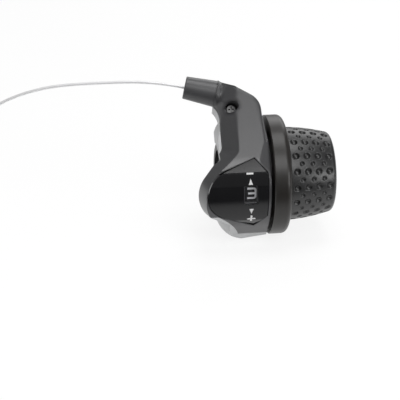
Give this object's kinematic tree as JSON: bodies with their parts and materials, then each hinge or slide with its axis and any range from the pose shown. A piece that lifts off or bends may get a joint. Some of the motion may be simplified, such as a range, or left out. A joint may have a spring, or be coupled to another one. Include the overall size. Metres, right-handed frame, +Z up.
{
  "type": "twist grip shifter",
  "caption": "Twist grip gear shifter for a handlebar: a dimpled rubber grip turns a cable drum inside an elbow housing with a gear window, and the bare cable leaves through the nose.",
  "frame": {"origin": "on the handlebar's axis, inside the clamp ring", "axes": "+X along the bar to the grip's outer end, -Y the way the display faces, +Z up"},
  "size_m": [0.2055, 0.0511, 0.0669],
  "materials": {
    "dark_cover": "satin dark grey moulding with a fine texture",
    "pale_cover": "satin pale grey moulding",
    "display_black": "polished black panel with white marks",
    "clear_window": "clear pane",
    "black_moulding": "black moulding with a fine texture",
    "number_black": "black ring with white figures",
    "collar_grey": "smooth matte warm dark grey",
    "grip_rubber": "soft black rubber",
    "nose_black": "satin black moulding",
    "liner": "slippery pale liner",
    "steel": "bright plated steel",
    "wire": "stranded bright steel",
    "cap_metal": "crimped aluminium",
    "tie": "black band"
  },
  "bodies": {
    "housing": {"front_cover": "dark_cover", "rear_cover": "pale_cover", "display_panel": "display_black", "gear_window": "clear_window", "bracket": "black_moulding", "clamp_bolt": "steel", "clamp_nut": "steel", "retaining_ring": "steel", "detent_spring": "steel", "cable_nose": "nose_black", "cable_guide": "liner", "cable_inside": "wire", "cover_screw": "steel", "cable_tail": "wire", "cable_coil": "wire", "coil_tie": "tie", "cable_end": "cap_metal"},
    "grip": {"twist_drum": "black_moulding", "number_ring": "number_black", "grip_collar": "collar_grey", "rubber_grip": "grip_rubber", "thrust_washer": "steel", "cable_nipple": "cap_metal"}
  },
  "joints": [
    {"name": "grip_twist", "type": "hinge", "parent": "housing", "child": "grip", "pos_m": [0, 0, 0], "axis": [-1, 0, 0], "range_deg": [0, 60], "deforming": ["cable_inside", "detent_spring"]}
  ]
}
